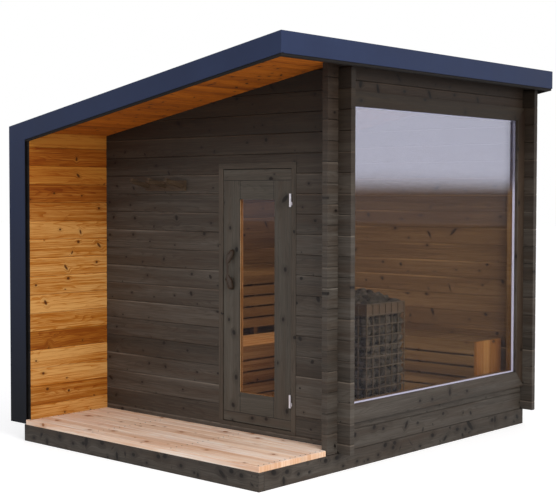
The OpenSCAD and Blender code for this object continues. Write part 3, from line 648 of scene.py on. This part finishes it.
class SAUNA_OT_door(bpy.types.Operator):
    """Finish the door, its frame, its glass and its hinges"""

    bl_idname = "sauna.door"
    bl_label = "Door"

    def execute(self, context):
        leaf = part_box("door_leaf")
        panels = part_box("door_panels")
        # the stain stops at the glass, and the side towards the room is bare wood, drawn paler than the
        # room's walls as a painted light from the window
        middle = (leaf[0].y + leaf[1].y) / 2 - CORNER.y
        room_face = [([(1, middle - 0.008, BEYOND)], BARE_PINE_PAINTED_LIGHT)]
        # the rails' joints run right across, and the panels' joints run up beside the stiles
        half, tenon = 0.0022, 0.0085
        joints = [[(2, z - half, z + half)] for z in (panels[0].z, panels[1].z)]
        for x in (panels[0].x - CORNER.x + tenon, panels[1].x - CORNER.x - tenon):
            joints.append([(0, x - half, x + half), (2, panels[0].z, panels[1].z)])
        low_rail = [(2, 0.0, panels[0].z)]
        high_rail = [(2, panels[1].z, BEYOND)]
        body = planed_wood("stained_door_leaf", "x_post", 0.16, 0.01, DOOR_STAIN, vary=0.4,
                           other=[(low_rail, "x_wall"), (high_rail, "x_wall")], knots=0.8,
                           knot_gap=0.17, inner=room_face, warm="#40342A", lines=joints, knot_size=1.25,
                           ring_dark=0.3)
        dress(["door_leaf"], body)
        sill = [(2, 0.0, leaf[0].z)]
        head = [(2, leaf[1].z, BEYOND)]
        frame = planed_wood("stained_door_frame", "x_post", 0.2, 0.05, FRAME_STAIN, vary=0.4,
                            other=[(sill, "x_wall"), (head, "x_wall")], knots=0.6)
        dress(["door_frame"], frame)
        panel = planed_wood("stained_door_panels", "x_wall", 0.4, 0.0, DOOR_STAIN, knots=0.1, vary=0.3,
                            inner=room_face, lines=joints)
        dress(["door_panels"], panel)
        # painted shade: the stops are drawn near black, standing in for the shade in the gap round the leaf
        stop = planed_wood("door_stops_painted_shade", "x_post", 0.2, 0.0, BLACK_STAIN, knots=0.0)
        dress(["door_stops"], stop)
        glass = float_glass("door_bronze_glass", "#E2DAD2", 0.015, 0.034, 1.35, 1.70)
        dress(["door_glass"], glass)
        hinge = satin_steel("zinc_plated_hinges", ("#C8C4CC", "#DEDAE0", "#F2F0F4"), 0.34, metallic=0.6)
        dress(["hinge_fixed", "hinge_moving"], hinge)
        return {"FINISHED"}


class SAUNA_OT_window(bpy.types.Operator):
    """Finish the big window: frame, panes, spacer, casing and lining"""

    bl_idname = "sauna.window"
    bl_label = "Window"

    def execute(self, context):
        low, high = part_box("window_spacer")
        low, high = low - CORNER, high - CORNER
        frame = mitre(low, high)
        upright = (frame, 0.0, BEYOND)
        # the head of the casing is darkened towards the top, a painted shade under the roof
        casing = planed_wood("stained_window_casing", "y_wall", 0.5, 0.1, DARK_STAIN, vary=0.2,
                             other=[([upright], "y_post")], lines=[[(frame, -0.0018, 0.0018)]],
                             inner=[([upright, (1, high.y, BEYOND)], POST_STAIN)],
                             knots=0.85, knot_gap=0.14, warm=DARK_HEART, knot_size=1.2, ring_dark=0.22,
                             eaves_shade=(2.0, 2.4, "#A3937E"))
        dress(["window_casing"], casing)
        inner = planed_wood("pine_window_frame", "y_wall", 0.5, 0.1, INNER_WOOD, knots=0.3)
        dress(["window_frame", "window_lining"], inner)
        # a painted reflection of the sky over the window's upper part
        glass = float_glass("window_float_glass", "#FAF9F7", 0.012, 0.30, 1.795, 2.00)
        dress(["window_glass"], glass)
        # the bar's aluminium grey is drawn pale lilac-white and not metallic, a painted reflection of the sky
        spacer = satin_steel("aluminium_spacer_bar", ("#D6D6FA", "#E2E2FF", "#EEEEFF"), 0.4, metallic=0.0)
        dress(["window_spacer"], spacer)
        return {"FINISHED"}


class SAUNA_OT_room(bpy.types.Operator):
    """Finish the benches and the coat rack"""

    bl_idname = "sauna.room"
    bl_label = "Benches and rack"

    def execute(self, context):
        bench = planed_wood("planed_alder_benches", "y_wall", 0.088, 0.0, BENCH_WOOD, knot="#5A361C",
                            knots=0.3)
        dress(["upper_bench"], bench)
        # painted light: the lower bench is drawn paler than the upper one, for the light that reaches its
        # front
        low = planed_wood("planed_alder_lower_bench_painted_light", "y_wall", 0.088, 0.0, LOWER_BENCH_PAINTED_LIGHT, knot="#5A361C",
                          knots=0.3)
        dress(["lower_bench"], low)
        # painted light: the back bench's end is drawn paler, where the window's light falls on it
        end = [(0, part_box("back_bench")[1].x - CORNER.x - 0.021, BEYOND)]
        back = planed_wood("planed_alder_back_bench", "x_wall", 0.088, 0.0, BENCH_WOOD, knot="#5A361C",
                           knots=0.3, other=[(end, "y_post")], inner=[(end, BENCH_ENDS_PAINTED_LIGHT)])
        dress(["back_bench"], back)
        rack = planed_wood("stained_coat_rack", "x_wall", 0.4, 0.0, RACK_STAIN, knots=0.2)
        dress(["coat_rack"], rack)
        return {"FINISHED"}


class SAUNA_OT_heater(bpy.types.Operator):
    """Fill the heater's cage with stones and finish its metal"""

    bl_idname = "sauna.heater"
    bl_label = "Heater"

    def execute(self, context):
        wire = satin_steel("heat_tinted_steel_wire", ("#483B2B", "#61523E", "#806D54"), 0.45, metallic=0.2)
        dress(["heater_cage"], wire)
        black = satin_steel("heat_proof_black_paint", ("#1C1A19", "#262423", "#302D2B"), 0.6, metallic=0.2)
        dress(["heater_base"], black)
        band = satin_steel("heat_tinted_band", ("#4C3A2A", "#5E4A36", "#705841"), 0.5, metallic=0.2)
        dress(["heater_core"], band)
        low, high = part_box("heater_stones")
        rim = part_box("heater_cage")[1].z
        size = context.scene.sauna_sizes.stone
        draw = random.Random(7)
        build = bmesh.new()
        for spot, scale in self.spots(low, high, rim, size):
            stone = bmesh.ops.create_icosphere(build, subdivisions=2, radius=0.5)["verts"]
            shape = Vector((draw.uniform(0.75, 1.15), draw.uniform(0.7, 1.05), draw.uniform(0.6, 0.95)))
            turn = Euler((draw.uniform(0, 6.28), draw.uniform(0, 6.28), draw.uniform(0, 6.28))).to_matrix()
            seed = Vector((draw.uniform(0, 50), draw.uniform(0, 50), draw.uniform(0, 50)))
            jitter = Vector((draw.uniform(-1, 1), draw.uniform(-1, 1), draw.uniform(-1, 1))) * size * 0.10
            for vert in stone:
                bulge = 1 + 0.30 * noise.noise(vert.co * 3.1 + seed)
                bulge += 0.12 * noise.noise(vert.co * 8.0 + seed)
                point = Vector((vert.co.x * shape.x, vert.co.y * shape.y, vert.co.z * shape.z)) * bulge
                point = turn @ point * size * scale * 1.12 + spot + jitter
                vert.co = [min(max(p, a), b) for p, a, b in zip(point, low, high)]
        stones = finish_piece("heater_stone_fill", build, stone_finish(), "cabin")
        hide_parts("heater_stones")
        return {"FINISHED"}

    def spots(self, low, high, rim, size):
        """Where each stone lies and how large it is: rows up each side of the cage, and a heap on top."""
        middle = (low + high) / 2
        half = (high.x - low.x) / 2
        rows = int((rim - low.z) / (size * 0.80))
        steps = int(2 * half / (size * 0.82))
        spots = []
        for row in range(rows):
            z = low.z + size * 0.45 + row * (rim - low.z - size * 0.7) / (rows - 1)
            for side in range(4):
                for step in range(steps):
                    u = -half + size * 0.45 + (2 * half - size * 0.9) * step / (steps - 1)
                    turn = Matrix.Rotation(side * math.pi / 2, 4, "Z")
                    spot = turn @ Vector((u, -half + size * 0.47, 0)) + Vector((middle.x, middle.y, z))
                    spots.append((spot, 1.0))
        # rings of the heap, each narrower, higher and rounder than the last
        for ring in range(5):
            reach = half * (0.86 - ring * 0.19)
            count = max(1, int(2 * math.pi * reach / (size * 0.72)))
            for step in range(count):
                turn = 2 * math.pi * (step + ring * 0.4) / count
                square = 1.0 / max(abs(math.cos(turn)), abs(math.sin(turn)))
                stretch = 1 + (square - 1) * (0.75 - ring * 0.15)
                spot = Vector((middle.x + reach * stretch * math.cos(turn),
                               middle.y + reach * stretch * math.sin(turn),
                               rim - 0.02 + ring * 0.019))
                spots.append((spot, 1.1))
        return spots


class SAUNA_OT_pull(bpy.types.Operator):
    """Shape the branch pulls on both faces of the door"""

    bl_idname = "sauna.pull"
    bl_label = "Door pulls"

    def execute(self, context):
        low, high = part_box("door_handle")
        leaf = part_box("door_leaf")
        finish = branch_finish()
        build = bmesh.new()
        for out, face in ((-1, leaf[0].y), (1, leaf[1].y)):
            self.branch(build, (low.x + high.x) / 2 + 0.004, face, out, low.z, high.z,
                        min(abs(low.y - leaf[0].y), abs(high.y - leaf[1].y)))
        piece = finish_piece("branch_pull", build, finish, "door")
        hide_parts("door_handle")
        return {"FINISHED"}

    def branch(self, build, x, face, out, z0, z1, depth):
        """A tube along a bent path, thick where it meets the leaf and thin at the grip."""
        height = z1 - z0
        # sideways in metres, out from the leaf and up as shares of the pull, and the radius
        path = [(0.004, 0.0, 0.080, 0.0150), (0.004, 0.20, 0.070, 0.0180), (0.003, 0.40, 0.095, 0.0215),
                (0.001, 0.52, 0.17, 0.0230), (-0.002, 0.66, 0.26, 0.0215), (-0.006, 0.86, 0.335, 0.0130),
                (-0.008, 0.96, 0.40, 0.0080), (-0.008, 0.96, 0.53, 0.0075), (-0.008, 0.96, 0.64, 0.0085),
                (-0.006, 0.88, 0.70, 0.0150), (-0.002, 0.72, 0.77, 0.0200), (0.003, 0.50, 0.86, 0.0210),
                (0.006, 0.30, 0.925, 0.0180), (0.007, 0.12, 0.945, 0.0150), (0.007, 0.0, 0.94, 0.0120)]
        steps = 4
        points = []
        for before, after in zip(path, path[1:]):
            for s in range(steps):
                t = s / steps
                points.append([a + (b - a) * (t * t * (3 - 2 * t)) for a, b in zip(before, after)])
        points.append(list(path[-1]))
        # the middle of the grip at its furthest from the leaf
        reach = depth - 0.008
        centres = [Vector((x + p[0], face + out * p[1] * reach, z0 + p[2] * height)) for p in points]
        across = Vector((1, 0, 0))
        rings = []
        for i, centre in enumerate(centres):
            ahead = (centres[min(i + 1, len(centres) - 1)] - centres[max(i - 1, 0)]).normalized()
            up = ahead.cross(across).normalized()
            rings.append(ring_of(build, centre, across, up, self.lumpy(centre, out, points[i][3]), 20))
        skin(build, rings)
        # the stub of a twig near the lower end
        root = Vector((x, face + out * depth * 0.45, z0 + 0.14 * height))
        tip = root + Vector((-0.032, out * 0.014, 0.038))
        knee = root.lerp(tip, 0.5) + Vector((0.001, 0, -0.003))
        ahead = (tip - root).normalized()
        across = ahead.orthogonal().normalized()
        skin(build, [ring_of(build, centre, across, ahead.cross(across), radius, 12)
                     for centre, radius in ((root, 0.0100), (knee, 0.0080), (tip, 0.0062))])

    def lumpy(self, centre, out, radius):
        """The branch's radius as a function of the turn, with its lumps."""
        def at(turn):
            spot = Vector((centre.z * 45 + out * 3, math.cos(turn), math.sin(turn)))
            return radius * (1 + 0.16 * noise.noise(spot))
        return at


class SAUNA_OT_fixings(bpy.types.Operator):
    """Add the screws in the deck"""

    bl_idname = "sauna.fixings"
    bl_label = "Deck screws"

    def execute(self, context):
        dark = satin_steel("blackened_screws", ("#141110", "#1E1A18", "#2A2624"), 0.5, metallic=0.5)
        build = bmesh.new()
        # two screws to a board in each of four lines, without the pair where the leg's foot is
        for x in (LEG_SIDE, 0.75, 1.54, FAR.x - 0.026):
            for row in range(DECK_ROWS):
                for y in (row * DECK_PITCH + 0.022, row * DECK_PITCH + 0.071):
                    if x > LEG_SIDE or row > 0:
                        self.head(build, CORNER + Vector((x, y, BASE_H + DECK_T + 0.0002)), 0.0040)
        finish_piece("screw_heads", build, dark, "cabin")
        return {"FINISHED"}

    def head(self, build, spot, radius):
        """A low domed head that faces up."""
        out = Vector((0, 0, 1))
        across = out.orthogonal().normalized()
        skin(build, [ring_of(build, spot + out * radius * rise, across, out.cross(across), radius * reach, 14)
                     for reach, rise in ((1.0, 0.0), (0.92, 0.22), (0.6, 0.36))])


class SAUNA_OT_stage(bpy.types.Operator):
    """Set up the floor, the light and the camera"""

    bl_idname = "sauna.stage"
    bl_label = "Studio"

    def execute(self, context):
        scene = context.scene
        self.floor(context)
        self.world(scene)
        self.lamps(scene)
        self.camera(scene, context.scene.sauna_sizes.lens)
        scene.view_settings.view_transform = "Standard"
        return {"FINISHED"}

    def floor(self, context):
        """A wide pale floor that is white to the camera except where the cabin shades it."""
        mesh = bpy.data.meshes.new("studio_floor")
        reach = 60.0
        level = CAD_BOX[0][2] - 0.0005
        mesh.from_pydata([(-reach, -reach, level), (reach, -reach, level), (reach, reach, level),
                          (-reach, reach, level)], [], [(0, 1, 2, 3)])
        floor = bpy.data.objects.new("studio_floor", mesh)
        context.scene.collection.objects.link(floor)
        material, tree, shader = new_material("pale_studio_floor")
        shader.inputs["Base Color"].default_value = context.scene.sauna_colours.floor
        shader.inputs["Roughness"].default_value = 0.95
        shader.inputs["Specular IOR Level"].default_value = 0.0
        shader.inputs["Emission Color"].default_value = (1, 1, 1, 1)
        ray = add(tree, "ShaderNodeLightPath").outputs
        tree.links.new(calc(tree, "MULTIPLY", ray["Is Camera Ray"], 0.55), shader.inputs["Emission Strength"])
        mesh.materials.append(material)

    def world(self, scene):
        """White to the camera and in gloss, and a plain sky light for everything else."""
        world = bpy.data.worlds.new("studio_world")
        scene.world = world
        world.use_nodes = True
        tree = world.node_tree
        tree.nodes.clear()
        ray = add(tree, "ShaderNodeLightPath").outputs
        seen = calc(tree, "MAXIMUM", ray["Is Camera Ray"], ray["Is Glossy Ray"])
        seen = calc(tree, "MAXIMUM", seen, ray["Is Transmission Ray"])
        light = add(tree, "ShaderNodeBackground", {"Color": linear("#ECEEF6"), "Strength": 0.80})
        white = add(tree, "ShaderNodeBackground", {"Color": (1, 1, 1, 1), "Strength": 1.0})
        both = add(tree, "ShaderNodeMixShader", {0: seen, 1: light.outputs[0], 2: white.outputs[0]})
        add(tree, "ShaderNodeOutputWorld", {"Surface": both.outputs[0]})

    def lamps(self, scene):
        """Broad soft lamps, high on the window's side and low in front, and a small one in the room."""
        for name, spot, aim, size, power in (
                ("window_side_softbox", (8.0, -3.0, 4.2), (-0.6, 0.0, 1.1), 5.0, 430.0),
                ("front_softbox", (-1.0, -8.5, 3.5), (0.0, -0.5, 1.2), 6.0, 42.0),
                ("room_softbox", (-0.35, -0.35, 1.75), (-0.45, 1.0, 0.2), 0.8, 12.0)):
            data = bpy.data.lights.new(name, "AREA")
            data.size = size
            data.energy = power
            lamp = bpy.data.objects.new(name, data)
            lamp.visible_camera = False
            lamp.visible_glossy = False
            lamp.location = spot
            toward = Vector(aim) - Vector(spot)
            lamp.rotation_euler = toward.to_track_quat("-Z", "Y").to_euler()
            scene.collection.objects.link(lamp)

    def camera(self, scene, lens):
        """The photograph's viewpoint: eye height, well off the near corner."""
        data = bpy.data.cameras.new("camera")
        data.lens = lens
        data.sensor_width = 36.0
        data.shift_x, data.shift_y = -0.00035, -0.00687
        data.clip_end = 200.0
        # measured from the base's near left corner; the angles are in radians
        eye = Vector((7.3006, -5.3540, 1.7874))
        heading, dip, roll = 0.7313, 0.0381, 0.0017
        camera = bpy.data.objects.new("camera", data)
        camera.matrix_world = (Matrix.Translation(CORNER + eye) @ Matrix.Rotation(heading, 4, "Z")
                               @ Matrix.Rotation(math.pi / 2 - dip, 4, "X") @ Matrix.Rotation(roll, 4, "Z"))
        scene.collection.objects.link(camera)
        scene.camera = camera


class SAUNA_PT_panel(bpy.types.Panel):
    """Lists the steps that dress the cabin"""

    bl_idname = "SAUNA_PT_panel"
    bl_label = "Sauna cabin"
    bl_space_type = "VIEW_3D"
    bl_region_type = "UI"
    bl_category = "Sauna"

    def draw(self, context):
        layout = self.layout
        for group in (context.scene.sauna_sizes, context.scene.sauna_colours):
            for key in group.__annotations__:
                layout.prop(group, key)
        for operator in OPERATORS:
            layout.operator(operator.bl_idname)


OPERATORS = (SAUNA_OT_stage, SAUNA_OT_logs, SAUNA_OT_roof, SAUNA_OT_terrace, SAUNA_OT_door,
             SAUNA_OT_window, SAUNA_OT_room, SAUNA_OT_heater, SAUNA_OT_pull, SAUNA_OT_fixings)
CLASSES = (SaunaColours, SaunaSizes) + OPERATORS + (SAUNA_PT_panel,)


def register():
    """Registers the classes and the scene's settings."""
    for cls in CLASSES:
        bpy.utils.register_class(cls)
    bpy.types.Scene.sauna_colours = bpy.props.PointerProperty(type=SaunaColours)
    bpy.types.Scene.sauna_sizes = bpy.props.PointerProperty(type=SaunaSizes)


def unregister():
    """Takes the settings and the classes away again."""
    del bpy.types.Scene.sauna_sizes
    del bpy.types.Scene.sauna_colours
    for cls in reversed(CLASSES):
        bpy.utils.unregister_class(cls)


def main():
    """Runs every step in order."""
    register()
    bpy.ops.sauna.stage()
    bpy.ops.sauna.logs()
    bpy.ops.sauna.roof()
    bpy.ops.sauna.terrace()
    bpy.ops.sauna.door()
    bpy.ops.sauna.window()
    bpy.ops.sauna.room()
    bpy.ops.sauna.heater()
    bpy.ops.sauna.pull()
    bpy.ops.sauna.fixings()


if __name__ == "__main__":
    main()
